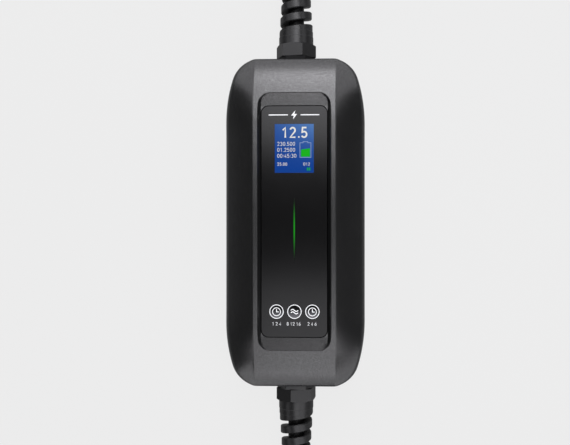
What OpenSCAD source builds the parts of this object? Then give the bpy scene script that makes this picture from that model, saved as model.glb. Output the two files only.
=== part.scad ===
// Portable charger for electric cars. A moulded control box lies on its back, with a
// cable gland and a spiral strain relief at each end, a short mains lead with its plug
// and a long vehicle lead that is folded into a hank, with its capped connector on top.
// Millimetres. The front faces +Z and the mains end points to +Y. The origin is on the
// floor, under the middle of the box.

/* [Housing] */
// Width across the straight sides
body_w = 102.5; // [100:0.5:106]
// Length between the two flat ends
body_l = 240; // [236:1:246]
// Depth from the flat back to the front strip
body_d = 58; // [57:0.5:60]
// Height of the joint between the two shells
split_z = 35; // [34:0.5:35.5]
// Wall thickness of both shells
wall = 3; // [2.6:0.1:3.2]
// Radius of the long curve that leads each side into its corners
side_r = 116; // [105:1:125]
// Angle swept by that curve
side_sweep = 17.2; // [16:0.1:18]
// Radius of the four corners
corner_r = 20.5; // [19:0.5:23]
// Width of the front strip between its two creases
strip_w = 59.4; // [58:0.2:60.4]
// Fall of the side facets for each millimetre outwards, at the crease
facet_fall = 0.75; // [0.7:0.01:0.78]
// Growth of that fall for each millimetre outwards
facet_curl = 0.005; // [0.003:0.0005:0.006]
// Share of the fall at the crease that is lost towards the ends
facet_fade = 0.5; // [0.4:0.05:0.5]
// Extra growth of the fall towards the ends, for each millimetre outwards
facet_bulge = 0.006; // [0.004:0.0005:0.007]
// Distance from the middle at which the facets begin to change
fade_y = 60; // [50:1:65]
// Distance from the middle at which the front begins to arch down to its ends
arch_y = 75; // [73:0.5:78]
// Radius of that arch
arch_r = 80; // [78:1:90]
// Rounding of the shoulder and the front end edges
edge_r = 2.5; // [1.5:0.1:2.6]
// Rounding of the back edge
back_r = 5; // [3:0.5:6]

/* [Front panel] */
// Width of the black panel
panel_w = 47.2; // [46.4:0.2:47.6]
// Length of the black panel
panel_l = 166; // [164:0.2:168]
// Distance of the panel's middle from the box's middle, towards the mains end
panel_y = 0.7; // [0:0.1:1]
// Thickness of the black panel
panel_t = 2; // [1.8:0.1:2.2]
// Height of its face
panel_z = 54; // [53.8:0.1:54.2]
// Radius of its corners
panel_r = 5; // [4:0.5:6]
// Length of the sunk tray that the panel lies in
tray_l = 185.2; // [180:0.2:186]
// Width of the display
display_w = 28; // [26:0.5:29]
// Height of the display
display_l = 35; // [33:0.5:36]
// Place of the display's middle along the panel
display_y = 53.3; // [52:0.1:55]
// Length of the status light
light_l = 44.6; // [40:0.2:46]
// Width of the status light at its middle
light_w = 1.5; // [1.2:0.1:2.2]
// Place of the status light's middle along the panel
light_y = -5; // [-8:0.5:-3]
// Distance between neighbouring touch keys
key_gap = 12.9; // [12:0.1:13.5]
// Place of the row of touch keys along the panel
key_y = -64.4; // [-66:0.1:-62]

/* [Cable glands] */
// Height of the gland axis
gland_z = 20.5; // [20:0.25:21]
// Diameter of the gland thread
thread_d = 20; // [19:0.5:21]
// Width across the flats of the gland's hexagons
hex_af = 26.5; // [26:0.5:27]
// Diameter of the collar above the hexagon
collar_d = 26; // [25.4:0.2:26.4]
// Pitch of the spiral rib
rib_pitch = 9.6; // [9.2:0.1:10]
// Height of the spiral rib along its axis
rib_h = 6; // [5:0.1:6.4]
// Diameter of the spiral at its collar
rib_d = 25.2; // [24.6:0.2:25.4]
// Diameter of the spiral at its tip
tip_d = 18.6; // [18:0.2:20]
// Turn of the mains end's dome nut about its axis, in degrees
supply_turn = -10; // [-30:1:30]
// Turn of the vehicle end's dome nut about its axis, in degrees
vehicle_turn = -17; // [-30:1:30]

/* [Cords] */
// Diameter of both cables
cord_d = 12; // [11.4:0.1:12]
// Straight run of the hank
hank_run = 120; // [100:5:120]

/* [Plug and connector] */
// Diameter of the plug at its face
plug_d = 38; // [36:0.5:38]
// Diameter of the plug's contact pins
pin_d = 4.8; // [4.6:0.1:4.8]
// Distance between the plug's contact pins
pin_gap = 19; // [18:0.5:19]
// Length of the contact pins in front of the plug's face
pin_l = 19; // [18:0.5:19]
// Width of the connector's cap
cap_w = 57; // [54:0.5:57]

/* [Hidden] */
$fn = 48;

// Slack left between pieces that slide together
slack = 0.1;
// Overlap that makes a cut pass cleanly through a face
over = 1;

// Outline of the housing: one quarter is a long side arc and a corner arc
half_w = body_w/2;
half_l = body_l/2;
side_steps = 5;
corner_steps = 9;
side_y = half_l - corner_r - (side_r - corner_r)*sin(side_sweep);
side_c = [half_w - side_r, side_y];
corner_c = side_c + (side_r - corner_r)*dir(side_sweep);

// Front surface
facet_steps = 3;
min_facet = 0.5;
crease_in = 0.45;
tray_z = 49;
tray_rim = 2.4;
ledge = 0.4;
recess_side = 0.575;
recess_end = 0.05;
tray_rise = 0.04;
recess_h = 6;

// Fixing points
screw_places = [[43.2, 0], [-43.2, 0], [36, 100], [-36, 100], [36, -100], [-36, -100]];
screw_r = 1.75;
screw_head_r = 3.4;
screw_head_z = 16;
screw_tip_z = 42;
column_r = 5.6;
board_places = [for (x = [-31, 31], y = [-80, 80]) [x, y]];
display_places = [for (x = [-18.5, 18.5], y = [-74, 26]) [x, y]];
small_screw_r = 1.25;

// Circuit boards
board_t = 1.6;
main_z = 9;
main_top = main_z + board_t;
main_w = 72;
main_l = 172;
display_board_z = 46.4;
display_board_top = display_board_z + board_t;
panel_back = panel_z - panel_t;

// Gland stations along its axis, from the end wall outwards
washer_t = 1.2;
flange_t = 4.6;
nut_t0 = flange_t + slack;
nut_t1 = 14.3;
collar_step = 20;
collar_t = 25;
rib_t = 24.7;
tip_t0 = 70;
tip_t1 = 75;
shank_t = -12;
rib_bore_r = 6.6;
spiral_r = 7;
tip_proud = 0.9;
rib_step = 15;
rib_edge = 0.6;
rib_start = -180;
rib_end = 360*(tip_t0 + 1.8 - rib_t)/rib_pitch;

// Cables: the points that each free stretch follows
cord_sides = 10;
cord_end_y = 104;
supply_route = [
    [0, cord_end_y, gland_z], [0, 150, gland_z], [0, 196, gland_z], [0, 208, gland_z],
    [-3, 223, 19.5], [-10, 238, 16.5], [-20, 252, 12.5], [-30, 266, 9], [-38, 281, 6.8],
    [-42, 297, 6.2], [-40, 313, 6.2], [-32, 328, 6.6], [-20, 341, 8.6], [-8, 353, 12],
    [-1, 367, 16.4], [0, 382, 19], [0, 396, 19]
];
lead_route = [
    [0, -cord_end_y, gland_z], [0, -150, gland_z], [0, -196, gland_z], [0, -208, gland_z],
    [3, -223, 20], [11, -238, 17.5], [24, -254, 14], [36, -269, 11], [44, -285, 8.6],
    [48, -302, 7.6], [48, -320, 7.6], [48, -340, 7.6]
];
tail_route = [
    [-48, -365, 43.6], [-48, -350, 44.5], [-48, -335, 47], [-48, -320, 50.5],
    [-44, -302, 55], [-34, -286, 60], [-18, -276, 65], [0, -272, 69], [18, -276, 72.5],
    [34, -286, 75.5], [44, -302, 77.7], [48, -320, 78.2], [46, -332, 78.2]
];
hank_y = -400;
hank_layers = 4;
fold_r = [36, 48];
strap_t = 1.6;
strap_w = 24;
strap_places = [-400, -445];
hank_h = hank_layers*cord_d;

// Plug, from the back of its sleeve to its face
plug_place = supply_route[len(supply_route) - 1];
sleeve_l = 32;
plug_l = 72;
pin_root = 12;
pin_root_r = 1.9;
clip_w = 7;
clip_t = 1;
clip_l = 20;
clip_r = plug_d/2 - 3.9;

// Connector, from the back of its boot to its cap
connector_place = tail_route[len(tail_route) - 1];
connector_way = heading(tail_route, len(tail_route) - 1);
connector_turn = atan2(connector_way.x, -connector_way.y);
boot_l = 38;
shell_s0 = 34;
shell_s1 = 150;
nose_s1 = 182;
cap_s1 = 188;
cap_flat = 20;
cap_t = 2.4;
shell_points = 24;

// Colours of the finishes
housing_grey = [0.2, 0.2, 0.21];
panel_black = [0.04, 0.04, 0.045];
nylon_black = [0.1, 0.1, 0.105];
rubber_black = [0.07, 0.07, 0.07];
board_green = [0.05, 0.25, 0.12];
steel = [0.7, 0.7, 0.72];
brass = [0.78, 0.66, 0.36];

// Small helpers
function dir(a) = [cos(a), sin(a)];
function unit(v) = v/norm(v);
function reverse(v) = [for (i = [len(v) - 1:-1:0]) v[i]];
function flip(v, s) = [for (p = v) [p.x*s.x, p.y*s.y]];

// Quarter outline of the housing, moved inwards by d, from the side to the end
function edge(d) = concat(
    [for (i = [0:side_steps]) side_c + (side_r - d)*dir(side_sweep*i/side_steps)],
    [for (i = [1:corner_steps])
        corner_c + (corner_r - d)*dir(side_sweep + (90 - side_sweep)*i/corner_steps)]);

// Whole outline, moved inwards by d
function outline(d) = let (q = edge(d), r = reverse(q))
    concat(q, flip(r, [-1, 1]), flip(q, [-1, -1]), flip(r, [1, -1]));

// Fall of the front along its length, and its extra fall over the rounded end edge
function fall(r, t) = r - sqrt(max(0, r*r - t*t));
function arch(y) = fall(arch_r, max(0, abs(y) - arch_y));
function lip(y, d) = fall(edge_r, max(0, abs(y) - (half_l - d - edge_r)));

// Change of the side facets at a place y, from none in the middle to all of it at the ends
function change(y) = let (t = min(1, max(0, (abs(y) - fade_y)/(half_l - fade_y)))) t*t*(3 - 2*t);

// Fall of a side facet at a distance u outside its crease and a place y along it
function facet(u, y) = facet_fall*(1 - facet_fade*change(y))*u
    + (facet_curl + facet_bulge*change(y))*u*u;

// Cross-section of the front at an outline point p, moved inwards by d, down to z0
function section(p, d, z0) = let (
        c = min(strip_w/2 - crease_in*d, p.x - min_facet),
        s = min(edge_r, 0.6*(p.x - c)),
        top = body_d - d - arch(p.y) - lip(p.y, d),
        run = (p.x - s - c)/facet_steps,
        flank = [for (i = [0:facet_steps]) [c + i*run, top - facet(i*run, p.y)]],
        a = flank[facet_steps],
        k = [p.x, top - facet(p.x - c, p.y)],
        b = [p.x, k.y - s],
        half = concat(flank, [(a + 2*k + b)/4, b]))
    concat(
        [[p.x, p.y, z0], [-p.x, p.y, z0]],
        [for (h = reverse(half)) [-h.x, p.y, h.y]],
        [for (h = half) [h.x, p.y, h.y]]);

// Rounded rectangle ring with half sides a and b and corner radii rx and ry
function corner_ring(a, b, rx, ry, z) = [
    for (q = [0:3], i = [0:6])
        let (t = 90*q + 15*i, sx = (q == 0 || q == 3) ? 1 : -1, sy = q < 2 ? 1 : -1)
        [sx*(a - rx) + rx*cos(t), sy*(b - ry) + ry*sin(t), z]];

// Ring of a cable of radius r at point p, square to its direction t
function cord_ring(p, t, r) = let (s = unit(cross(t, [0, 0, 1])), u = cross(s, t))
    [for (k = [0:cord_sides - 1]) let (a = 360*k/cord_sides) p + r*(cos(a)*s - sin(a)*u)];
function heading(path, i) = unit(path[min(i + 1, len(path) - 1)] - path[max(i - 1, 0)]);

// Section of the spiral rib at an angle a from the front, about the gland axis
function rib_radius(t) = (rib_d + (tip_d - rib_d)*max(0, t - collar_t)/(tip_t1 - collar_t))/2;
function rib_ring(a) = let (
        t = rib_t + rib_pitch*a/360, ro = rib_radius(t), h = rib_h/2,
        profile = [[-h, spiral_r], [h, spiral_r], [h, ro - rib_edge], [h - rib_edge, ro],
            [rib_edge - h, ro], [-h, ro - rib_edge]])
    [for (p = profile) [p.y*sin(a), -p.y*cos(a), t + p.x]];

// Oval ring of the connector's shell: half width a, half height b, station s
function oval_ring(a, b, s) = [
    for (k = [0:shell_points - 1]) let (t = 360*k/shell_points, c = cos(t), n = sin(t))
        [a*sign(c)*pow(abs(c), 0.8), b*sign(n)*pow(abs(n), 0.8), s]];

// Faces of a loft, wound clockwise from outside
function band(n, a, b) = [
    for (i = [0:n - 1], f = [[a + i, b + i, b + (i + 1)%n], [a + i, b + (i + 1)%n, a + (i + 1)%n]]) f];
function lid(n, a, far) = [for (i = [1:n - 2]) far ? [a, a + i + 1, a + i] : [a, a + i, a + i + 1]];

// Solid through a list of rings that all have the same number of points
module loft(rings) {
    n = len(rings[0]);
    last = len(rings) - 1;
    polyhedron(
        points = [for (r = rings) each r],
        faces = concat(
            lid(n, 0, false),
            [for (j = [0:last - 1]) each band(n, j*n, (j + 1)*n)],
            lid(n, last*n, true)));
}

module tub(stations) {
    loft([for (s = stations) [for (p = outline(s.x)) [p.x, p.y, s.y]]]);
}

module front_form(d, z0) {
    side = edge(d);
    q = concat([[side[0].x, fade_y]], side);
    loft([for (p = concat(flip(reverse(q), [1, -1]), q)) section(p, d, z0)]);
}

module cord(path) {
    loft([for (i = [0:len(path) - 1]) cord_ring(path[i], heading(path, i), cord_d/2)]);
}

module round_rect(w, l, r) {
    square([w - 2*r, l], center = true);
    square([w, l - 2*r], center = true);
    for (x = [-1, 1], y = [-1, 1]) translate([x*(w/2 - r), y*(l/2 - r)]) circle(r);
}

module plate(w, l, r, z0, z1) {
    translate([0, 0, z0]) linear_extrude(z1 - z0) round_rect(w, l, r);
}

module brick(place, size, z0) {
    translate([place.x - size.x/2, place.y - size.y/2, z0]) cube(size);
}

module post(place, r, z0, z1) {
    translate([place.x, place.y, z0]) cylinder(h = z1 - z0, r = r);
}

module tube(r0, r1, z0, z1) {
    translate([0, 0, z0]) difference() {
        cylinder(h = z1 - z0, r = r1);
        translate([0, 0, -over]) cylinder(h = z1 - z0 + 2*over, r = r0);
    }
}

module hex(af, z0, z1) {
    translate([0, 0, z0]) cylinder(h = z1 - z0, r = af/sqrt(3), $fn = 6);
}

module spindle(l, w) {
    r = (l*l + w*w)/(4*w);
    sweep = asin(l/(2*r));
    polygon([for (s = [1, -1], k = [-1:1/8:7/8])
        s*[r*cos(k*sweep) - r + w/2, r*sin(k*sweep)]]);
}

module at_gland(end) {
    rotate([0, 0, end > 0 ? 0 : 180]) translate([0, half_l, gland_z]) rotate([-90, 0, 0]) children();
}

module at_plug() {
    translate(plug_place) rotate([-90, 0, 0]) children();
}

module at_connector() {
    translate(connector_place) rotate([0, 0, connector_turn]) rotate([90, 0, 0]) children();
}

// Housing
module recess() {
    a = panel_w/2 + ledge;
    y0 = panel_l/2 + ledge;
    y1 = tray_l/2 + 1;
    difference() {
        loft([
            corner_ring(a, tray_l/2, 6.5, 8, panel_z),
            corner_ring(a + recess_side*recess_h, tray_l/2 + recess_end*recess_h,
                9.5, 8.5, panel_z + recess_h)]);
        for (s = [0, 1]) mirror([0, s, 0]) rotate([90, 0, 90]) translate([0, 0, -2*a])
            linear_extrude(4*a) polygon([
                [y0, panel_z - 1], [y1, panel_z - 1], [y1, panel_z + tray_rise*(y1 - y0)], [y0, panel_z]]);
    }
}

module front_cavity() {
    difference() {
        front_form(wall, split_z - 3*wall);
        translate([0, panel_y, 0])
            plate(panel_w + 2*(ledge + 2*tray_rim), tray_l + 3*tray_rim, panel_r, tray_z, body_d);
        for (p = screw_places) post(p, column_r - over, split_z - 4*wall, body_d);
        for (p = display_places) post(p, 3, display_board_top, body_d);
    }
}

module front_shell() color(housing_grey) difference() {
    front_form(0, split_z);
    front_cavity();
    translate([0, panel_y, 0]) {
        recess();
        plate(panel_w + 2*slack, panel_l + 2*slack, panel_r, panel_back, panel_z + over);
    }
    translate([0, display_y, 0]) plate(display_w + 7, display_l + 10, 1, tray_z - over, panel_z);
    translate([0, light_y, 0]) plate(light_w + 1.2, light_l + 2, 1, tray_z - over, panel_z);
    for (k = [-1:1]) post([k*key_gap, key_y], 4.5, tray_z - over, panel_z);
    for (p = screw_places) post(p, screw_r, split_z - over, screw_tip_z + slack);
    for (p = display_places) post(p, small_screw_r, display_board_top - over, tray_z + 1.5);
}

module seal_ring(d0, d1, z0, z1) {
    translate([0, 0, z0]) linear_extrude(z1 - z0) difference() {
        polygon(outline(d0));
        polygon(outline(d1));
    }
}

module rear_cavity() {
    difference() {
        tub([[wall + 2, wall], [wall + 0.6, wall + 0.6], [wall, wall + 2], [wall, split_z + over]]);
        for (p = screw_places) post(p, column_r, 0, split_z);
        for (p = board_places) post(p, 3.5, 0, main_z);
    }
}

module rear_shell() color(housing_grey) difference() {
    tub(concat(
        [for (a = [0:22.5:90]) [back_r*(1 - sin(a)), back_r*(1 - cos(a))]],
        [[0, split_z - 0.6], [0.6, split_z]]));
    rear_cavity();
    seal_ring(0.9, 2.1, split_z - 1.5, split_z + over);
    translate([0, 0, gland_z]) rotate([90, 0, 0])
        cylinder(h = body_l + 2*over, r = thread_d/2 + slack, center = true);
    for (p = screw_places) {
        post(p, screw_head_r + 0.6, -over, screw_head_z);
        post(p, screw_r + 0.25, 0, split_z + over);
    }
    for (p = board_places) post(p, small_screw_r, wall, main_z + over);
}

module housing_seal() color(rubber_black) seal_ring(0.9, 2.1, split_z - 1.5, split_z);

module case_screws() color(steel) for (p = screw_places) difference() {
    union() {
        post(p, screw_head_r, screw_head_z - 3, screw_head_z);
        post(p, screw_r, screw_head_z, screw_tip_z);
    }
    translate([p.x, p.y, screw_head_z - 4]) cylinder(h = 2.8, r = 1.5, $fn = 6);
}

// Front panel and what is behind it
module front_panel() color(panel_black) difference() {
    translate([0, panel_y, 0]) plate(panel_w, panel_l, panel_r, panel_back, panel_z);
    translate([0, display_y, panel_back - over])
        linear_extrude(panel_t + 2*over) square([display_w + slack, display_l + slack], center = true);
    translate([0, light_y, panel_back - over])
        linear_extrude(panel_t + 2*over) spindle(light_l + 2*slack, light_w + slack);
}

module display_glass() color([0.1, 0.28, 0.62])
    brick([0, display_y], [display_w, display_l, panel_t], panel_back);

module display_module() color([0.75, 0.76, 0.78]) difference() {
    brick([0, display_y], [display_w + 6, display_l + 9, panel_back - display_board_top],
        display_board_top);
    brick([0, display_y - display_l/2 - 3], [display_w - 8, 2, over], panel_back - 0.4);
}

module display_board() color(board_green) difference() {
    plate(46, 158, 2, display_board_z, display_board_top);
    for (p = display_places)
        post(p, small_screw_r + 0.15, display_board_z - over, display_board_top + over);
}

module display_screws() color(steel) for (p = display_places) {
    post(p, 2.3, display_board_z - 1.8, display_board_z);
    post(p, small_screw_r, display_board_z, tray_z + 1.5);
}

module light_guide() color([0.45, 0.95, 0.45]) translate([0, light_y, tray_z + 0.4])
    linear_extrude(panel_z - tray_z - 0.4) spindle(light_l, light_w);

module status_leds() color([0.9, 0.95, 0.8]) for (k = [-2:2])
    brick([0, light_y + 9*k], [2, 3.2, 1.2], display_board_top);

module touch_pads() color([0.2, 0.2, 0.2]) for (k = [-1:1])
    post([k*key_gap, key_y], 4, display_board_top, panel_back);

// Main board and its parts
module main_board() color(board_green) difference() {
    plate(main_w, main_l, 2, main_z, main_top);
    for (p = board_places) post(p, small_screw_r + 0.15, main_z - over, main_top + over);
}

module board_screws() color(steel) for (p = board_places) {
    post(p, 2.6, main_top, main_top + 2);
    post(p, small_screw_r, wall, main_top);
}

module power_relays() color([0.12, 0.12, 0.14]) for (x = [-12, 12]) difference() {
    brick([x, -16], [16, 30, 24], main_top);
    brick([x, -16], [3, 12, over], main_top + 23.6);
}

module leakage_sensor() color([0.15, 0.3, 0.6]) {
    translate([0, -48, main_top + 15.5]) rotate([90, 0, 0]) translate([0, 0, -6]) tube(8, 15, 0, 12);
    difference() {
        brick([0, -48], [22, 12, 8], main_top);
        translate([0, -48, main_top + 15.5]) rotate([90, 0, 0]) cylinder(h = 20, r = 15, center = true);
    }
}

module supply_module() color([0.08, 0.08, 0.09]) difference() {
    brick([-14, 22], [36, 26, 20], main_top);
    for (x = [-31, 3]) brick([x, 22], [3, 27, 2], main_top + 18.5);
}

module filter_capacitor() color([0.9, 0.75, 0.2]) brick([18, 52], [26, 11, 19], main_top);

module bulk_capacitor() color([0.1, 0.12, 0.3]) difference() {
    post([20, 24], 8, main_top, main_top + 25);
    translate([20, 24, main_top + 3]) rotate_extrude() translate([8.4, 0]) circle(0.8);
}

module surge_arresters() color([0.15, 0.35, 0.7]) for (x = [-12, -2])
    translate([x, 54, main_top + 7]) rotate([0, 90, 0]) cylinder(h = 4.5, r = 7, center = true);

module fuse() color([0.85, 0.85, 0.82]) translate([-26, 52, main_top + 4.5]) rotate([90, 0, 0]) {
    cylinder(h = 14, r = 2.4, center = true);
    for (s = [-1, 1]) translate([0, 0, s*9.5]) {
        cylinder(h = 6, r = 2.6, center = true);
        translate([0, -2.25, 0]) cube([4, 4.5, 3], center = true);
    }
}

module processor() color([0.06, 0.06, 0.06]) brick([28, -14], [10, 10, 1.4], main_top);

module board_ribbon() color([0.8, 0.8, 0.78])
    brick([-31, -16], [1.2, 20, display_board_z - main_top], main_top);

module terminal(end) {
    color([0.1, 0.35, 0.2]) difference() {
        brick([0, end*74], [32, 14, 17], main_top);
        for (x = [-10, 0, 10]) post([x, end*72], 2.4, main_top + 13, main_top + 17 + over);
    }
}

module supply_terminal() terminal(1);
module vehicle_terminal() terminal(-1);

module wires(end) {
    for (x = [-3.8, 0, 3.8]) color([0.25 + x/20, 0.35, 0.4 - x/20])
        translate([x, end*(cord_end_y + 81)/2, gland_z]) rotate([90, 0, 0])
            cylinder(h = cord_end_y - 81, r = 1.6, center = true);
}

module supply_wires() wires(1);
module vehicle_wires() wires(-1);

// Cable glands
module gland_body(end) color(nylon_black) at_gland(end) difference() {
    union() {
        translate([0, 0, shank_t]) cylinder(h = washer_t - shank_t, r = thread_d/2);
        hex(hex_af, washer_t, flange_t);
        translate([0, 0, flange_t]) cylinder(h = 9, r = 9.4);
    }
    translate([0, 0, shank_t - over]) cylinder(h = 40, r = 7.2);
}

module gland_washer(end) color(rubber_black) at_gland(end) tube(thread_d/2 + slack, 13.2, 0, washer_t);

module gland_locknut(end) color(nylon_black) at_gland(end) difference() {
    hex(25, -wall - 5, -wall);
    translate([0, 0, -wall - 6]) cylinder(h = 7, r = thread_d/2);
}

module gland_seal(end) color([0.2, 0.2, 0.2]) at_gland(end) tube(cord_d/2 + 0.02, 7.2, -1, 13.4);

// Nut with chamfered outer corners, stepped collar, spiral rib and closing ring
module dome_nut(end, turn) color(nylon_black) at_gland(end) {
    difference() {
        union() {
            intersection() {
                rotate([0, 0, turn]) hex(hex_af, nut_t0, nut_t1);
                rotate_extrude() polygon([
                    [0, 0], [16, 0], [16, nut_t1 - 1.6], [13.6, nut_t1], [0, nut_t1]]);
            }
            rotate_extrude() polygon([
                [0, nut_t1 - over], [collar_d/2, nut_t1 - over], [collar_d/2, collar_step],
                [collar_d/2 - 0.25, collar_step + 0.3], [collar_d/2 - 0.25, collar_t - 0.8],
                [collar_d/2 - 1.05, collar_t], [0, collar_t]]);
        }
        translate([0, 0, nut_t0 - over]) cylinder(h = 13.8 - nut_t0 + over, r = 9.5);
        cylinder(h = 2*collar_t, r = rib_bore_r);
    }
    loft([for (a = [rib_start:rib_step:rib_end]) rib_ring(a)]);
    tube(rib_bore_r, rib_radius(tip_t1) + tip_proud, tip_t0, tip_t1);
}

module supply_gland_body() gland_body(1);
module supply_gland_washer() gland_washer(1);
module supply_gland_locknut() gland_locknut(1);
module supply_gland_seal() gland_seal(1);
module supply_dome_nut() dome_nut(1, supply_turn);
module vehicle_gland_body() gland_body(-1);
module vehicle_gland_washer() gland_washer(-1);
module vehicle_gland_locknut() gland_locknut(-1);
module vehicle_gland_seal() gland_seal(-1);
module vehicle_dome_nut() dome_nut(-1, vehicle_turn);

// Mains lead
module supply_cord() color(rubber_black) cord(supply_route);

module plug_body() color(rubber_black) at_plug() difference() {
    rotate_extrude() polygon(concat(
        [[0, 0], [7.6, 0]],
        [for (i = [0:4], e = [[8, 3], [8, 6], [7.2, 6.6], [7.2, 7.4]]) e + i*[0.5, 5]],
        [[11, sleeve_l], [15, sleeve_l + 5], [16, sleeve_l + 12], [16, sleeve_l + 26],
            [plug_d/2, sleeve_l + 32], [plug_d/2, plug_l - 1], [plug_d/2 - 1, plug_l], [0, plug_l]]));
    for (s = [-1, 1]) {
        translate([s*pin_gap/2, 0, plug_l - pin_root]) cylinder(h = 2*pin_root, r = pin_root_r);
        translate([-clip_w/2 - slack, s*(plug_d/2 - 2) - 3.4, plug_l - clip_l])
            cube([clip_w + 2*slack, 6.8, clip_l + over]);
    }
}

module plug_pins() color(brass) at_plug() for (s = [-1, 1])
    translate([s*pin_gap/2, 0, plug_l - pin_root]) rotate_extrude() polygon([
        [0, 0], [pin_root_r, 0], [pin_root_r, pin_root], [pin_d/2, pin_root],
        [pin_d/2, pin_root + pin_l - 2], [pin_d/4, pin_root + pin_l], [0, pin_root + pin_l]]);

module plug_earth_clips() color(brass) at_plug() for (s = [-1, 1]) {
    translate([-clip_w/2, s*clip_r - clip_t/2, plug_l - clip_l]) cube([clip_w, clip_t, clip_l - 1]);
    translate([0, s*clip_r, plug_l - 7]) rotate([0, 90, 0])
        cylinder(h = clip_w, r = 1.3, center = true);
}

// Vehicle lead, its hank and its straps
module stadium(r) {
    square([2*r, hank_run], center = true);
    for (s = [-1, 1]) translate([0, s*hank_run/2]) circle(r);
}

module hank_form() {
    translate([0, hank_y, strap_t]) linear_extrude(hank_h) difference() {
        stadium(fold_r[1] + cord_d/2);
        stadium(fold_r[0] - cord_d/2);
    }
}

module vehicle_cord_lead() color(rubber_black) difference() {
    cord(lead_route);
    hank_form();
}

module vehicle_cord_hank() color(rubber_black) hank_form();

module vehicle_cord_tail() color(rubber_black) difference() {
    cord(tail_route);
    hank_form();
}

module hank_straps() color([0.12, 0.12, 0.13]) for (y = strap_places)
    translate([0, y + strap_w/2, hank_h/2 + strap_t]) rotate([90, 0, 0])
        linear_extrude(strap_w) difference() {
        w = 2*fold_r[1] + cord_d;
        round_rect(w + 2*strap_t, hank_h + 2*strap_t, strap_t);
        square([w, hank_h], center = true);
    }

// Vehicle connector
module shell_form() {
    loft([
        oval_ring(14, 14, shell_s0), oval_ring(17, 17.5, 44), oval_ring(19, 21, 60),
        oval_ring(19.5, 22.5, 78), oval_ring(19.5, 22, 96), oval_ring(21, 22.5, 112),
        oval_ring(25, 25, 126), oval_ring(27.5, 27, 136),
        oval_ring(28, 27.5, 146), oval_ring(27, 26.5, shell_s1)]);
}

module nose_outline(r, flat) {
    intersection() {
        circle(r);
        translate([-r, -r]) square([2*r, r + flat]);
    }
}

module connector_shell(side) color(nylon_black) at_connector() difference() {
    intersection() {
        shell_form();
        translate([side > 0 ? 0 : -40, -40, 0]) cube([40, 80, 200]);
    }
    translate([0, 0, -over]) cylinder(h = boot_l + over, r = 11);
    translate([0, 0, shell_s1 - 20]) linear_extrude(20 + over)
        nose_outline(cap_w/2 - cap_t, cap_flat - cap_t);
    for (s = [56, 104]) translate([0, 0, s]) rotate([0, 90, 0]) {
        cylinder(h = 36, r = 1.5, center = true);
        translate([0, 0, 14]) cylinder(h = 20, r = 3.2);
    }
}

module connector_shell_left() connector_shell(-1);
module connector_shell_right() connector_shell(1);

module connector_boot() color(rubber_black) at_connector() rotate_extrude() polygon(concat(
    [[0, 0], [8, 0]],
    [for (i = [0:4], e = [[8.4, 1.5], [8.4, 4.5], [7.6, 5], [7.6, 6]]) e + i*[0.7, 5.6]],
    [[13, shell_s0 - 4], [13, shell_s0], [11, shell_s0], [11, boot_l], [0, boot_l]]));

module connector_nose() color(rubber_black) at_connector() translate([0, 0, shell_s1 - 20])
    linear_extrude(nose_s1 - shell_s1 + 20) nose_outline(cap_w/2 - cap_t, cap_flat - cap_t);

module connector_cap() color(rubber_black) at_connector() difference() {
    translate([0, 0, shell_s1]) linear_extrude(cap_s1 - shell_s1) nose_outline(cap_w/2, cap_flat);
    translate([0, 0, shell_s1 - over]) linear_extrude(nose_s1 - shell_s1 + over)
        nose_outline(cap_w/2 - cap_t, cap_flat - cap_t);
}

module connector_screws() color(steel) at_connector() for (s = [56, 104])
    translate([0, 0, s]) rotate([0, 90, 0]) {
    translate([0, 0, -12]) cylinder(h = 26, r = 1.5);
    translate([0, 0, 14]) cylinder(h = 2, r = 2.8);
}

front_shell();
rear_shell();
housing_seal();
case_screws();
front_panel();
display_glass();
display_module();
display_board();
display_screws();
light_guide();
status_leds();
touch_pads();
main_board();
board_screws();
power_relays();
leakage_sensor();
supply_module();
filter_capacitor();
bulk_capacitor();
surge_arresters();
fuse();
processor();
board_ribbon();
supply_terminal();
vehicle_terminal();
supply_wires();
vehicle_wires();
supply_gland_body();
supply_gland_washer();
supply_gland_locknut();
supply_gland_seal();
supply_dome_nut();
vehicle_gland_body();
vehicle_gland_washer();
vehicle_gland_locknut();
vehicle_gland_seal();
vehicle_dome_nut();
supply_cord();
plug_body();
plug_pins();
plug_earth_clips();
vehicle_cord_lead();
vehicle_cord_hank();
vehicle_cord_tail();
hank_straps();
connector_shell_left();
connector_shell_right();
connector_boot();
connector_nose();
connector_cap();
connector_screws();
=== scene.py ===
import math
from collections import namedtuple

import bmesh
import bpy
from bpy.props import FloatProperty, FloatVectorProperty, PointerProperty
from mathutils import Matrix, Vector


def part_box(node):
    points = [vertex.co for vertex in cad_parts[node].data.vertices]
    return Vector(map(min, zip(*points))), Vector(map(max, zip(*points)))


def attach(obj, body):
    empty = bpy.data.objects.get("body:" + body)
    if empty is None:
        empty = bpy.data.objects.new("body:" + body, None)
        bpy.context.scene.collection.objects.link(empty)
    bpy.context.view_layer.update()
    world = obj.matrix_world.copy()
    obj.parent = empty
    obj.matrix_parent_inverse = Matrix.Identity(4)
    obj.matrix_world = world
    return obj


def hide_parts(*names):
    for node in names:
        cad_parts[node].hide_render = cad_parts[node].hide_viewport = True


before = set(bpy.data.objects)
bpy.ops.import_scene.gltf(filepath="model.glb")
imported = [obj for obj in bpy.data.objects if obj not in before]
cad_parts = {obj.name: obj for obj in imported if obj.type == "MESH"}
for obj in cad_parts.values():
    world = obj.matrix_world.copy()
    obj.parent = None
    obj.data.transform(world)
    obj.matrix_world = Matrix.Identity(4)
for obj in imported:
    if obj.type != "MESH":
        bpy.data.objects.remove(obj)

bl_info = {
    "name": "Portable EV Charger",
    "version": (1, 0, 0),
    "blender": (4, 5, 0),
    "location": "3D View > Sidebar > Charger",
    "description": "Dresses the packed charger: housing, panel, glands, leads and studio",
    "category": "Object",
}

ROOT = "root"


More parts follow.
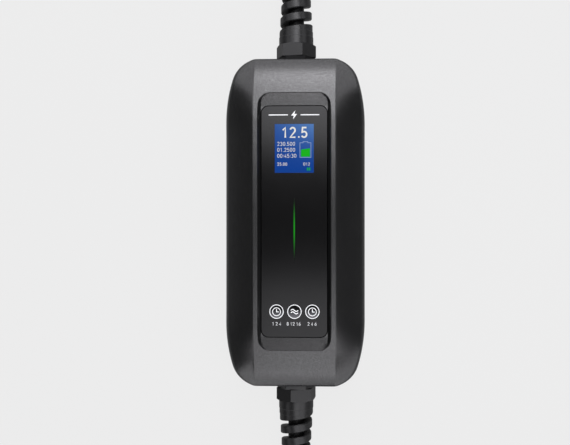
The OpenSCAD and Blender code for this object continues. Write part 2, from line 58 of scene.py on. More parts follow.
def length(name, description, default):
    """A size in metres."""
    return FloatProperty(name=name, description=description, default=default, unit="LENGTH", precision=5)


def ratio(name, description, default):
    """A plain number."""
    return FloatProperty(name=name, description=description, default=default, precision=3)


def angle(name, description, degrees):
    """An angle, given in degrees."""
    return FloatProperty(name=name, description=description, default=math.radians(degrees), subtype="ANGLE")


def colour(name, description, default):
    """A linear colour."""
    return FloatVectorProperty(
        name=name, description=description, default=default, subtype="COLOR", size=3, min=0.0, max=1.0)


class ChargerHousing(bpy.types.PropertyGroup):
    """Sizes of the moulded front shell."""

    width: length("Width", "Across the widest part of the housing", 0.1025)
    length: length("Length", "Along the housing, without the glands", 0.240)
    depth: length("Depth", "From the back to the top of the front strip", 0.058)
    split: length("Split", "Height of the joint between the two shells", 0.035)
    side_radius: length("Side radius", "Radius of the long side's curve", 0.116)
    side_sweep: angle("Side sweep", "Turn of the long side's curve before the corner starts", 17.2)
    corner_radius: length("Corner radius", "Radius of the corner in plan", 0.0205)
    strip: length("Strip width", "Width of the arched strip along the front", 0.0594)
    facet_fall: ratio("Facet fall", "Drop of the side facet for each unit outwards", 0.75)
    facet_curl: ratio("Facet curl", "Extra drop of the side facet, times its run squared", 5.0)
    facet_fade: ratio("Facet fade", "Share of the facet's fall that is lost at the ends", 0.5)
    fade_start: length("Fade start", "Distance from the middle where the facet begins to change", 0.060)
    facet_bulge: ratio("Facet bulge", "What the facet's curl gains at the ends", 6.0)
    arch_start: length("Arch start", "Distance from the middle where the ends begin to fall", 0.075)
    arch_radius: length("Arch radius", "Radius of the falling ends", 0.080)
    edge_radius: length("Edge radius", "Rounding of the outer edge", 0.0025)
    lip: length("Lip", "Rounding of the front's end edges", 0.0012)
    crease: length("Crease", "Softness of the edge between strip and facet", 0.0003)
    rim: length("Rim", "Softness of the edge round the tray", 0.0007)
    tray_floor: length("Tray floor", "Height of the tray's floor", 0.054)
    tray_depth: length("Tray depth", "Height over which the tray's walls are drawn", 0.006)
    tray_side: ratio("Side wall slope", "Outward run of the tray's side walls for each unit of height", 0.575)
    tray_end: ratio("End wall slope", "Outward run of the tray's end walls for each unit of height", 0.05)
    tray_reach: length("Tray half length", "From the middle to the end of the tray's floor", 0.0926)
    head_rise: ratio("Head rise", "Slope of the tray's floor past the panel's mains end", 0.04)
    foot_rise: ratio("Foot rise", "Slope of the tray's floor past the panel's vehicle end", 0.06)


class ChargerPanel(bpy.types.PropertyGroup):
    """Sizes of the front panel and what is printed on it."""

    width: length("Width", "Across the panel", 0.0472)
    length: length("Length", "Along the panel", 0.166)
    middle: length("Middle", "From the housing's middle to the panel's, towards the mains end", 0.0007)
    corner: length("Corner", "Corner radius of the panel", 0.005)
    gap: length("Side gap", "Gap between panel and tray along the sides", 0.00035)
    end_gap: length("End gap", "Gap between panel and tray at the ends", 0.0005)
    key_y: length("Key place", "Place of the three keys along the panel", -0.0644)
    key_gap: length("Key gap", "Distance from one key to the next", 0.0129)
    ring: length("Ring", "Outer radius of a key's printed ring", 0.0051)
    stroke: length("Stroke", "Width of a printed line", 0.0005)


class ChargerLeads(bpy.types.PropertyGroup):
    """Sizes of the two leads."""

    diameter: length("Diameter", "Outer diameter of the cable", 0.012)
    supply: length("Supply lead", "Length of the lead to the mains plug", 0.32)
    vehicle: length("Vehicle lead", "Length of the lead to the vehicle connector", 4.34)


class ChargerFinish(bpy.types.PropertyGroup):
    """Colours of the charger."""

    housing: colour("Housing", "Moulded housing", (0.0045, 0.0046, 0.0048))
    panel: colour("Panel", "Front panel", (0.0012, 0.0012, 0.0014))
    gland: colour("Gland", "Nylon glands and strain reliefs", (0.003, 0.003, 0.0034))
    cable: colour("Cable", "Cable jackets, boots and straps", (0.005, 0.005, 0.0054))
    ink: colour("Ink", "Printing on the panel", (0.82, 0.83, 0.84))
    light: colour("Status light", "Light from the status bar", (0.002, 0.34, 0.003))
    screen_high: colour("Screen top", "Picture background at the top right", (0.085, 0.20, 0.47))
    screen_low: colour("Screen bottom", "Picture background at the bottom", (0.004, 0.047, 0.272))


class ChargerStudio(bpy.types.PropertyGroup):
    """Camera and light."""

    distance: length("Camera distance", "From the camera to the middle of the charger", 0.600)
    aim: length("Aim height", "Height of the point that the camera looks at", 0.023)
    yaw: angle("Camera yaw", "Turn of the camera to the charger's right", 2.5)
    lens: ratio("Lens", "Focal length in millimetres on a 36 mm sensor", 50.0)
    shift: ratio("Shift", "Sideways shift of the picture", -0.0195)
    rise: ratio("Rise", "Upward shift of the picture", 0.0)
    key: ratio("Head light", "Power of the soft light over the upper end, in watts", 5.4)
    fill: ratio("Foot light", "Power of the soft light over the lower end, in watts", 2.75)
    side: ratio("Side lights", "Power of each weaker light beside the two soft lights, in watts", 1.35)
    head_wall: ratio("Head wall", "Power of the low wide light past the upper end, in watts", 11.6)
    foot_wall: ratio("Foot wall", "Power of the low wide light past the lower end, in watts", 8.2)
    wing: ratio("Wings", "Power of the lights high over the corners, in watts for each metre", 4.0)
    floor: colour("Floor", "Floor and background", (0.84, 0.84, 0.84))


class Signal:
    """A shader socket that takes part in arithmetic; each operator adds one Math node."""

    def __init__(self, tree, socket):
        self.tree = tree
        self.socket = socket

    def feed(self, target):
        """Link this socket into an input."""
        self.tree.links.new(self.socket, target)

    def node(self, kind, settings, inputs, output=0):
        """Add any other node: its type, its settings, then its inputs by name or place."""
        made = self.tree.nodes.new(kind)
        for key, value in settings.items():
            setattr(made, key, value)
        for place, value in inputs.items():
            if isinstance(value, Signal):
                value.feed(made.inputs[place])
            else:
                made.inputs[place].default_value = value
        return Signal(self.tree, made.outputs[output])

    def math(self, operation, *values):
        """Add a Math node on these values."""
        return self.node("ShaderNodeMath", {"operation": operation}, dict(enumerate(values)))

    def __add__(self, other):
        return self.math("ADD", self, other)

    def __radd__(self, other):
        return self.math("ADD", other, self)

    def __sub__(self, other):
        return self.math("SUBTRACT", self, other)

    def __rsub__(self, other):
        return self.math("SUBTRACT", other, self)

    def __mul__(self, other):
        return self.math("MULTIPLY", self, other)

    def __rmul__(self, other):
        return self.math("MULTIPLY", other, self)

    def __truediv__(self, other):
        return self.math("DIVIDE", self, other)

    def __rtruediv__(self, other):
        return self.math("DIVIDE", other, self)

    def __neg__(self):
        return self.math("MULTIPLY", self, -1.0)

    def __abs__(self):
        return self.math("ABSOLUTE", self)

    def clamp(self, low=0.0, high=1.0):
        """Keep the value between two limits."""
        return self.node("ShaderNodeClamp", {}, {0: self, 1: low, 2: high})

    def step(self, low, high):
        """Go smoothly from 0 to 1 between two values."""
        return self.node(
            "ShaderNodeMapRange", {"interpolation_type": "SMOOTHSTEP"},
            {0: self, 1: low, 2: high, 3: 0.0, 4: 1.0})

    def axis(self, place):
        """One of a position's three numbers."""
        return self.node("ShaderNodeSeparateXYZ", {}, {0: self}, output=place)

    def tinted(self, tint):
        """A colour, made this much stronger or weaker."""
        return self.node("ShaderNodeVectorMath", {"operation": "SCALE"}, {0: tint, "Scale": self})


BLACK = (0.0, 0.0, 0.0, 1.0)
ACROSS = 0
ALONG = 1


def fill(shader, values):
    """Set inputs that are the same all over a surface."""
    for name, value in values.items():
        shader.inputs[name].default_value = value


def blank_material(name):
    """A material with one Principled shader; returns the material, its shader and a position signal."""
    material = bpy.data.materials.new(name)
    material.use_nodes = True
    tree = material.node_tree
    tree.nodes.clear()
    output = tree.nodes.new("ShaderNodeOutputMaterial")
    shader = tree.nodes.new("ShaderNodeBsdfPrincipled")
    tree.links.new(shader.outputs[0], output.inputs[0])
    place = tree.nodes.new("ShaderNodeTexCoord")
    return material, shader, Signal(tree, place.outputs["Object"])


BLOTCHES = 60.0
FINE_SHADE = 0.16
BROAD_SHADE = 0.10
LEAST_ROUGHNESS = 0.05
BUMP_STRENGTH = 0.35
SPECKLE_START = 0.42
SPECKLE_END = 0.66


def plastic(
        name, tint, roughness, grain=0.00025, relief=0.00002, uneven=0.06, metallic=0.0, specular=0.5,
        speckle=0.0):
    """A moulded material: fine grain, a little uneven in gloss, with a coat on its grain where asked."""
    material, shader, place = blank_material(name)
    fine = place.node("ShaderNodeTexNoise", {}, {"Vector": place, "Scale": 1.0/grain, "Detail": 2.0})
    broad = place.node("ShaderNodeTexNoise", {}, {"Vector": place, "Scale": BLOTCHES, "Detail": 3.0})
    gloss = roughness + uneven*(broad - 0.5) + 0.5*uneven*(fine - 0.5)
    gloss.clamp(LEAST_ROUGHNESS, 1.0).feed(shader.inputs["Roughness"])
    shade = 1.0 + FINE_SHADE*(fine - 0.5) + BROAD_SHADE*(broad - 0.5)
    shade.tinted(tint).feed(shader.inputs["Base Color"])
    bump = place.node("ShaderNodeBump", {}, {"Strength": BUMP_STRENGTH, "Distance": relief, "Height": fine})
    bump.feed(shader.inputs["Normal"])
    if speckle > 0.0:
        coat = speckle*fine.step(SPECKLE_START, SPECKLE_END)
        coat.feed(shader.inputs["Coat Weight"])
        fill(shader, {"Coat Roughness": roughness})
    fill(shader, {"Metallic": metallic, "Specular IOR Level": specular})
    return material


def glow(name, tint):
    """A material that only shines."""
    material, shader, _ = blank_material(name)
    fill(shader, {
        "Base Color": BLACK, "Roughness": 0.5, "Specular IOR Level": 0.05,
        "Emission Color": (*tint, 1.0), "Emission Strength": 1.0})
    return material


def dress(target, material):
    """Give an object this one material."""
    target.data.materials.clear()
    target.data.materials.append(material)
    return target


def add_mesh(name, vertices, faces, material, smooth=True, ride=True):
    """A new mesh object that rides on the charger."""
    mesh = bpy.data.meshes.new(name)
    mesh.from_pydata([tuple(v) for v in vertices], [], faces)
    mesh.validate()
    mesh.update()
    mesh.polygons.foreach_set("use_smooth", [smooth]*len(mesh.polygons))
    piece = bpy.data.objects.new(name, mesh)
    bpy.context.scene.collection.objects.link(piece)
    dress(piece, material)
    if ride:
        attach(piece, ROOT)
    return piece


WELD = 0.000002
BEVEL_ANGLE = math.radians(30)


def soften(piece, width):
    """Rounded edges and smooth shading on a piece, without touching its own mesh."""
    weld = piece.modifiers.new("Weld", "WELD")
    weld.merge_threshold = WELD
    if width > 0:
        bevel = piece.modifiers.new("Bevel", "BEVEL")
        bevel.width = width
        bevel.segments = 2
        bevel.limit_method = "ANGLE"
        bevel.angle_limit = BEVEL_ANGLE
        bevel.harden_normals = False
    normal = piece.modifiers.new("Normals", "WEIGHTED_NORMAL")
    normal.keep_sharp = False


def smooth_path(points, pieces=8):
    """A curve through the points, each stretch between two of them in this many pieces."""
    found = []
    for i in range(len(points) - 1):
        a = points[max(i - 1, 0)]
        b = points[i]
        c = points[i + 1]
        d = points[min(i + 2, len(points) - 1)]
        for k in range(pieces):
            t = k/pieces
            found.append(0.5*(2*b + (c - a)*t + (2*a - 5*b + 4*c - d)*t*t + (3*b - a - 3*c + d)*t*t*t))
    found.append(points[-1])
    return found


def even_path(points, spacing):
    """The same line with evenly spaced points."""
    found = [points[0]]
    left = spacing
    for a, b in zip(points, points[1:]):
        run = (b - a).length
        at = left
        while at < run:
            found.append(a.lerp(b, at/run))
            at += spacing
        left = at - run
    if (points[-1] - found[-1]).length < 0.5*spacing:
        found.pop()
    return found + [points[-1]]


def sweep(name, path, radius, sides, material):
    """A round tube along a path, closed at both ends."""
    vertices = []
    faces = []
    heading = (path[1] - path[0]).normalized()
    side = heading.orthogonal().normalized()
    for i, point in enumerate(path):
        ahead = (path[min(i + 1, len(path) - 1)] - path[max(i - 1, 0)]).normalized()
        side = (side - ahead*side.dot(ahead)).normalized()
        up = ahead.cross(side)
        for k in range(sides):
            turn = 2*math.pi*k/sides
            vertices.append(point + radius*(math.cos(turn)*side + math.sin(turn)*up))
    for i in range(len(path) - 1):
        for k in range(sides):
            n = (k + 1) % sides
            faces.append((i*sides + k, i*sides + n, (i + 1)*sides + n, (i + 1)*sides + k))
    last = (len(path) - 1)*sides
    faces.append(tuple(reversed(range(sides))))
    faces.append(tuple(last + k for k in range(sides)))
    return add_mesh(name, vertices, faces, material)


Ring = namedtuple("Ring", "half_x half_y round_x round_y middle")

# The front shell's own numbers, with lengths in metres. HAIR is half the width of a straight step down.
HAIR = 0.00003
SEAT_DEPTH = 0.0015
LEDGE = 0.0004
LEAST_LEDGE = 0.0003
LEAST_FACET = 0.0005
EDGE_SHARE = 0.6
EDGE_STEPS = 6
TRAY_ROUND = 0.0065
TRAY_ROUND_GAIN = 0.003
TRAY_END_ROUND = 0.008
TRAY_END_ROUND_GAIN = 0.001
HALVINGS = 18

# Where the rows and columns of the front's mesh change their spacing.
EVEN_ROWS = 0.070
ROW_GAP = 0.0002
RIM_ROWS = 0.0008
RIM_FADE = 0.0025
FINE = 0.0012
FINE_END = 0.0013

# The front shell's lower edge, which turns in above the joint between the shells.
JOINT_EDGE = 0.0006
JOINT_TURN = 0.0002
JOINT_INSET = 0.0005
MERGE = 0.000004
SLIVER = 0.000002
SHARP = math.radians(40)


def clip(value):
    """The value, kept between 0 and 1."""
    return min(max(value, 0.0), 1.0)


def ease(share):
    """A share from 0 to 1 that starts and ends gently."""
    return share*share*(3.0 - 2.0*share)


def fall(radius, run):
    """Drop of a rounded edge at a run past its start."""
    run = min(max(run, 0.0), radius)
    return radius - math.sqrt(radius*radius - run*run)


def soft_min(a, b, width):
    """The lower of two values, with a soft corner."""
    share = clip(0.5 + 0.5*(b - a)/width)
    return b + (a - b)*share - width*share*(1.0 - share)


def arc_centres(size):
    """Middles of the side arc and the corner arc of the outline's first quarter."""
    spare = size.side_radius - size.corner_radius
    side = Vector((
        0.5*size.width - size.side_radius,
        0.5*size.length - size.corner_radius - spare*math.sin(size.side_sweep)))
    return side, side + spare*Vector((math.cos(size.side_sweep), math.sin(size.side_sweep)))


def half_width(size, y):
    """Half the housing's width at a place along it."""
    side, corner = arc_centres(size)
    run = abs(y) - side.y
    if run <= 0:
        return 0.5*size.width
    if run <= size.side_radius*math.sin(size.side_sweep):
        return side.x + math.sqrt(size.side_radius**2 - run**2)
    over = min(abs(y) - corner.y, size.corner_radius)
    return corner.x + math.sqrt(size.corner_radius**2 - over**2)


def crown(size, y):
    """Height of the front strip at a place along the housing."""
    return size.depth - fall(size.arch_radius, abs(y) - size.arch_start)


def crease_place(size, wide):
    """Distance from the middle to the crease, where the housing is this wide."""
    return min(0.5*size.strip, wide - LEAST_FACET)


def facet_height(size, x, y, wide):
    """Height of the outside of the front at a point: the arched strip and the facet beside it."""
    run = abs(x) - crease_place(size, wide)
    late = ease(clip((abs(y) - size.fade_start)/(0.5*size.length - size.fade_start)))
    slope = size.facet_fall*(1.0 - size.facet_fade*late)
    drop = slope*run + (size.facet_curl + size.facet_bulge*late)*run*run
    lip = fall(size.lip, abs(y) - 0.5*size.length + size.lip)
    return crown(size, y) + soft_min(0.0, -drop, size.crease) - lip


def tray_ring(size, panel, share):
    """The tray's outline at a share of its height."""
    rise = share*size.tray_depth
    return Ring(
        0.5*panel.width + LEDGE + size.tray_side*rise, size.tray_reach + size.tray_end*rise,
        TRAY_ROUND + TRAY_ROUND_GAIN*share, TRAY_END_ROUND + TRAY_END_ROUND_GAIN*share, panel.middle)


def seat_ring(panel):
    """The outline of the sunk seat under the panel, with the gap round it."""
    return Ring(
        0.5*panel.width + panel.gap, 0.5*panel.length + panel.end_gap, panel.corner, panel.corner,
        panel.middle)


def ring_width(ring, y):
    """Half the width of a rounded rectangle at a place along it; past its end, that of its end."""
    past = clip((abs(y - ring.middle) - ring.half_y)/ring.round_y + 1.0)
    return ring.half_x - ring.round_x + ring.round_x*math.sqrt(1.0 - past*past)


def inside(ring, x, y):
    """Whether a point lies inside a rounded rectangle."""
    return abs(y - ring.middle) <= ring.half_y and abs(x) <= ring_width(ring, y)


def tray_height(size, panel, x, y):
    """Height of the tray's floor or wall at a point."""
    slope = size.head_rise if y > panel.middle else size.foot_rise
    floor = size.tray_floor + slope*max(abs(y - panel.middle) - 0.5*panel.length, 0.0)
    if inside(tray_ring(size, panel, 0.0), x, y):
        return floor
    if not inside(tray_ring(size, panel, 1.0), x, y):
        return size.depth + size.tray_depth
    low = 0.0
    high = 1.0
    for _ in range(HALVINGS):
        middle = 0.5*(low + high)
        if inside(tray_ring(size, panel, middle), x, y):
            high = middle
        else:
            low = middle
    return max(floor, size.tray_floor + high*size.tray_depth)


def spread(*runs):
    """Places from several runs, each (start, end, steps), without repeats."""
    found = []
    for start, end, steps in runs:
        found += [start + (end - start)*k/steps for k in range(steps)]
    return found + [runs[-1][1]]


def quarter(start, radius, steps):
    """Places along a corner that turns from a straight side, close together at its end."""
    return [start + radius*math.sin(0.5*math.pi*k/steps) for k in range(steps + 1)]


def side_rows(size, panel, side):
    """Distances from the housing's middle to one of its ends, close together where it curves."""
    seat = 0.5*panel.length + panel.end_gap + side*panel.middle
    tray = size.tray_reach + side*panel.middle
    bend = seat - panel.corner
    near = tray + RIM_ROWS
    far = tray + RIM_FADE
    corner = 0.5*size.length - size.corner_radius
    half = spread((0.0, EVEN_ROWS, 28), (EVEN_ROWS, bend, 6))
    half += [y - HAIR for y in quarter(bend, panel.corner, 8)[1:]] + [seat + HAIR]
    half += [y for y in quarter(tray - TRAY_END_ROUND, TRAY_END_ROUND, 14) if y > seat + ROW_GAP]
    half += spread((tray, near, 8), (near, far, 5), (far, corner, 4))[1:]
    half += quarter(corner, size.corner_radius, 36)[1:]
    return half


def housing_rows(size, panel):
    """Places along the housing, from the vehicle end to the mains end."""
    return [-y for y in reversed(side_rows(size, panel, -1)[1:])] + side_rows(size, panel, 1)


def section(size, panel, y):
    """Points across the housing's outside at one place along it, from the middle to the side."""
    wide = half_width(size, y)
    crease = crease_place(size, wide)
    bend = min(size.edge_radius, EDGE_SHARE*(wide - crease))
    last = wide - bend
    share = clip((crown(size, y) - size.tray_floor)/size.tray_depth)
    floor = ring_width(tray_ring(size, panel, 0.0), y)
    rim = ring_width(tray_ring(size, panel, share), y)
    seat = min(ring_width(seat_ring(panel), y), floor - LEAST_LEDGE)
    places = spread(
        (0.0, seat - HAIR, 8), (seat - HAIR, seat + HAIR, 1), (seat + HAIR, floor, 3), (floor, rim, 6),
        (rim, rim + FINE, 5), (rim + FINE, crease - FINE, 4), (crease - FINE, crease + FINE, 12),
        (crease + FINE, max(last, crease + FINE_END), 20))
    points = []
    for x in (min(x, last) for x in places):
        z = facet_height(size, x, y, wide)
        z = soft_min(z, tray_height(size, panel, x, y), size.rim)
        if inside(seat_ring(panel), x, y):
            z = size.tray_floor - SEAT_DEPTH
        points.append((x, y, z))
    low = facet_height(size, wide, y, wide)
    near = (last, facet_height(size, last, y, wide))
    far = (wide, low - bend)
    for k in range(1, EDGE_STEPS + 1):
        t = k/EDGE_STEPS
        x = near[0]*(1 - t)**2 + 2*wide*t*(1 - t) + far[0]*t*t
        z = near[1]*(1 - t)**2 + 2*low*t*(1 - t) + far[1]*t*t
        points.append((x, y, z))
    return points


def corners(found):
    """The vertices among a form's parts."""
    return [part for part in found if isinstance(part, bmesh.types.BMVert)]


def open_edges(found):
    """The open edges among a form's parts."""
    return [part for part in found if isinstance(part, bmesh.types.BMEdge) and part.is_boundary]


class CHARGER_OT_housing(bpy.types.Operator):
    """Build the front shell and finish the rear one"""

    bl_idname = "charger.housing"
    bl_label = "Housing"

    def execute(self, context):
        size = context.scene.charger_housing
        panel = context.scene.charger_panel
        finish = context.scene.charger_finish
        material = plastic(
            "housing_plastic", tuple(finish.housing), 0.245, grain=0.0006, relief=0.00008, specular=0.86,
            speckle=1.0)
        shell = self.outside(size, panel, material)
        self.close(shell, size)
        # The seat under the panel gets painted shade: a dull black in the gap round the panel.
        self.paint_seat_shade(shell, size, panel)
        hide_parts("front_shell")
        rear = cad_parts["rear_shell"]
        dress(rear, material)
        soften(rear, 0.0004)
        return {"FINISHED"}

    def outside(self, size, panel, material):
        """The front shell's outside, as one sheet of sections from end to end."""
        vertices = []
        rows = housing_rows(size, panel)
        for y in rows:
            right = section(size, panel, y)
            vertices += [(-x, v, z) for x, v, z in reversed(right[1:])] + right
        across = len(vertices)//len(rows)
        faces = []
        for r in range(len(rows) - 1):
            for c in range(across - 1):
                faces.append((r*across + c, r*across + c + 1, (r + 1)*across + c + 1, (r + 1)*across + c))
        return add_mesh("housing_front", vertices, faces, material)

    def close(self, shell, size):
        """Draw the sheet's edge down to the joint, turn it in there and close it below."""
        form = bmesh.new()
        form.from_mesh(shell.data)
        bmesh.ops.remove_doubles(form, verts=form.verts, dist=MERGE)
        bmesh.ops.dissolve_degenerate(form, edges=form.edges, dist=SLIVER)
        wall = bmesh.ops.extrude_edge_only(form, edges=open_edges(form.edges))["geom"]
        for corner in corners(wall):
            corner.co.z = size.split + JOINT_EDGE
        turned = bmesh.ops.extrude_edge_only(form, edges=open_edges(wall))["geom"]
        for corner in corners(turned):
            x, y, _ = corner.co
            corner.co.x -= math.copysign(min(JOINT_INSET, abs(x)), x)
            corner.co.y -= math.copysign(JOINT_INSET, y)
            corner.co.z = size.split + JOINT_TURN
        bmesh.ops.holes_fill(form, edges=open_edges(turned))
        bmesh.ops.recalc_face_normals(form, faces=form.faces)
        for face in form.faces:
            face.smooth = True
        form.to_mesh(shell.data)
        form.free()
        shell.data.set_sharp_from_angle(angle=SHARP)

    def paint_seat_shade(self, shell, size, panel):
        """Paint the seat under the panel a dull black: painted shade, so that the gap round the panel stays
        dark.
        """
        shell.data.materials.append(plastic("seat_black", (0.0005, 0.0005, 0.0005), 0.8, specular=0.02))
        seat = seat_ring(panel)
        base = size.tray_floor - SEAT_DEPTH - HAIR
        brim = size.tray_floor - HAIR
        for face in shell.data.polygons:
            lowest = min(shell.data.vertices[i].co.z for i in face.vertices)
            if face.center.z > base and lowest < brim and inside(seat, *face.center.xy):
                face.material_index = 1


# The leads' routes, in millimetres.
SUPPLY_ROUTE = (
    (0, 104, 20.5), (0, 150, 20.5), (0, 196, 20.5), (0, 208, 20.5), (-3, 223, 19.5), (-10, 238, 16.5),
    (-20, 252, 12.5), (-30, 266, 9), (-38, 281, 6.8), (-42, 297, 6.2), (-40, 313, 6.2), (-32, 328, 6.6),
    (-20, 341, 8.6), (-8, 353, 12), (-1, 367, 16.4), (0, 382, 19), (0, 396, 19))
LEAD_ROUTE = (
    (0, -104, 20.5), (0, -150, 20.5), (0, -196, 20.5), (0, -208, 20.5), (3, -223, 20), (11, -238, 17.5),
    (24, -254, 14), (36, -269, 11), (44, -285, 8.6), (48, -302, 7.6), (48, -320, 7.6), (48, -340, 7.6))
TAIL_ROUTE = (
    (-48, -365, 43.6), (-48, -350, 44.5), (-48, -335, 47), (-48, -320, 50.5), (-44, -302, 55),
    (-34, -286, 60), (-18, -276, 65), (0, -272, 69), (18, -276, 72.5), (34, -286, 75.5), (44, -302, 77.7),
    (48, -320, 78.2), (46, -332, 78.2))
HANK_TURNS = (
    (48, 7.6), (36, 7.6), (36, 19.6), (48, 19.6), (48, 31.6), (36, 31.6), (36, 43.6), (48, 43.6))
HANK_NEAR = -340
HANK_FAR = -460
STRAIGHT_STEPS = 12
LAST_STEPS = 10
FAR_STEPS = 24
NEAR_STEPS = 30
CROSSING = 0.36
CROSSING_SHIFT = 0.1

SUPPLY_SPACING = 0.004
SUPPLY_SIDES = 20
VEHICLE_SPACING = 0.006
VEHICLE_SIDES = 16
MM = 0.001


def metres(points):
    """Points in millimetres as vectors in metres."""
    return [Vector(p)*MM for p in points]


def straight(x, start, end, z, steps):
    """Points along the hank from one end of a run, without its last point."""
    return [(x, start + (end - start)*k/steps, z) for k in range(steps)]


def hank_path():
    """The folded part of the vehicle lead, turn by turn, in millimetres.

    At the near end each turn crosses over to the next one, and each later turn does so a little sooner.
    """
    found = []
    count = len(HANK_TURNS)
    for i, (radius, z) in enumerate(HANK_TURNS):
        found += straight(radius, HANK_NEAR, HANK_FAR, z, STRAIGHT_STEPS)
        for k in range(FAR_STEPS):
            turn = math.pi*k/FAR_STEPS
            found.append((radius*math.cos(turn), HANK_FAR - radius*math.sin(turn), z))
        if i == count - 1:
            found += straight(-radius, HANK_FAR, TAIL_ROUTE[0][ALONG], z, LAST_STEPS)
            break
        found += straight(-radius, HANK_FAR, HANK_NEAR, z, STRAIGHT_STEPS)
        next_radius, next_z = HANK_TURNS[i + 1]
        start = (count - 2 - i)*CROSSING_SHIFT
        for k in range(NEAR_STEPS):
            part = k/NEAR_STEPS
            share = ease(clip((part - start)/CROSSING))
            at = radius + (next_radius - radius)*share
            turn = math.pi*part
            found.append((-at*math.cos(turn), HANK_NEAR + at*math.sin(turn), z + (next_z - z)*share))
    return found


class CHARGER_OT_leads(bpy.types.Operator):
    """Lay the supply lead and the vehicle lead"""

    bl_idname = "charger.leads"
    bl_label = "Leads"

    def execute(self, context):
        leads = context.scene.charger_leads
        finish = context.scene.charger_finish
        material = plastic(
            "cable_jacket", tuple(finish.cable), 0.48, grain=0.0003, relief=0.00001, specular=0.25)
        radius = 0.5*leads.diameter
        supply = even_path(smooth_path(metres(SUPPLY_ROUTE)), SUPPLY_SPACING)
        flex = sweep("supply_lead", supply, radius, SUPPLY_SIDES, material)
        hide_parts("supply_cord")
        run = smooth_path(metres(LEAD_ROUTE))[:-1] + metres(hank_path()) + smooth_path(metres(TAIL_ROUTE))
        vehicle = even_path(run, VEHICLE_SPACING)
        line = sweep("vehicle_lead", vehicle, radius, VEHICLE_SIDES, material)
        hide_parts("vehicle_cord_lead", "vehicle_cord_hank", "vehicle_cord_tail")
        return {"FINISHED"}


def arc(x, y, wide, high, start, end, steps=14):
    """Points along an ellipse's arc, angles in degrees."""
    turns = [math.radians(start + (end - start)*k/steps) for k in range(steps + 1)]
    return [(x + wide*math.cos(t), y + high*math.sin(t)) for t in turns]


GLYPHS = {
    "0": [arc(0.29, 0.50, 0.25, 0.46, 90, 450, 22)],
    "1": [[(0.10, 0.72), (0.34, 0.96), (0.34, 0.0)]],
    "2": [arc(0.29, 0.71, 0.23, 0.25, 165, -30) + [(0.06, 0.04), (0.55, 0.04)]],
    "3": [arc(0.27, 0.73, 0.22, 0.23, 150, -80) + arc(0.27, 0.27, 0.25, 0.23, 80, -150)],
    "4": [[(0.42, 0.0), (0.42, 0.94), (0.05, 0.28), (0.58, 0.28)]],
    "5": [[(0.51, 0.96), (0.14, 0.96), (0.10, 0.52)] + arc(0.28, 0.31, 0.25, 0.27, 125, -150)],
    "6": [[(0.46, 0.96), (0.20, 0.66)] + arc(0.30, 0.30, 0.235, 0.26, 150, 510, 20)],
    "8": [arc(0.29, 0.74, 0.20, 0.22, -90, 270, 18), arc(0.29, 0.27, 0.24, 0.23, 90, 450, 18)],
    ".": [[(0.12, 0.0), (0.12, 0.13)]],
    ":": [[(0.12, 0.14), (0.12, 0.28)], [(0.12, 0.58), (0.12, 0.72)]],
    " ": [],
}
NARROW = 0.34
ADVANCE = 0.76
LEAST_MITRE = 0.35
SAME_POINT = 1e-6

# Heights of the printing over the panel, in metres.
FACE_LIFT = 0.00001
SCREEN_LIFT = 0.00002
INK_LIFT = 0.00003

# The printing's own sizes and places, in millimetres.
PRINT_X = 0.15
PRINT_Y = 0.3
CLOCK_RADIUS = 2.85
CLOCK_DROP = 0.1
CLOCK_LINE = 0.5
HANDS = ((0.0, 1.9), (0.0, -0.2), (1.6, -0.2))
HANDS_LINE = 0.55
WAVE_LIFTS = (-0.85, 0.95)
WAVE_LENGTH = 5.2
WAVE_HEIGHT = 0.75
WAVE_STEPS = 16
WAVE_LINE = 0.6
KEY_NUMBERS = (("1 2 4", -15.9), ("8 12 16", -5.4), ("2 4 6", 9.6))
KEY_NUMBERS_DROP = 9.9
KEY_NUMBERS_HEIGHT = 2.3
KEY_NUMBERS_LINE = 0.36
SIGN_Y = 77.4
SIGN_LINES = ((-18.4, -4.6), (4.6, 18.0))
SIGN_LINE = 0.7
BOLT = ((0.7, 3.2), (-2.2, -0.5), (-0.3, -0.5), (-0.9, -3.2), (2.0, 0.6), (0.1, 0.6))
SCREEN_NUMBERS = (
    ("12.5", -9.0, 61.0, 7.5, 1.15), ("230.500", -12.2, 55.2, 2.7, 0.30), ("01.2500", -12.2, 50.9, 2.7, 0.30),
    ("00:45:30", -12.2, 46.6, 2.7, 0.30), ("25.00", -12.2, 40.9, 2.2, 0.28), ("012", 6.6, 40.9, 2.2, 0.28))
GAUGE = (
    (4.1, 46.8), (4.1, 57.3), (6.4, 57.3), (6.4, 58.1), (9.7, 58.1), (9.7, 57.3), (12.0, 57.3), (12.0, 46.8),
    (4.1, 46.8))
GAUGE_LINE = 0.32
CHARGE = ((4.9, 47.3), (11.3, 47.3), (11.3, 53.3), (4.9, 52.4))
BAR_PLACES = (9.2, 10.6)
BAR_WIDTH = 0.9
BAR_BASE = 37.4
BAR_TOP = 39.4


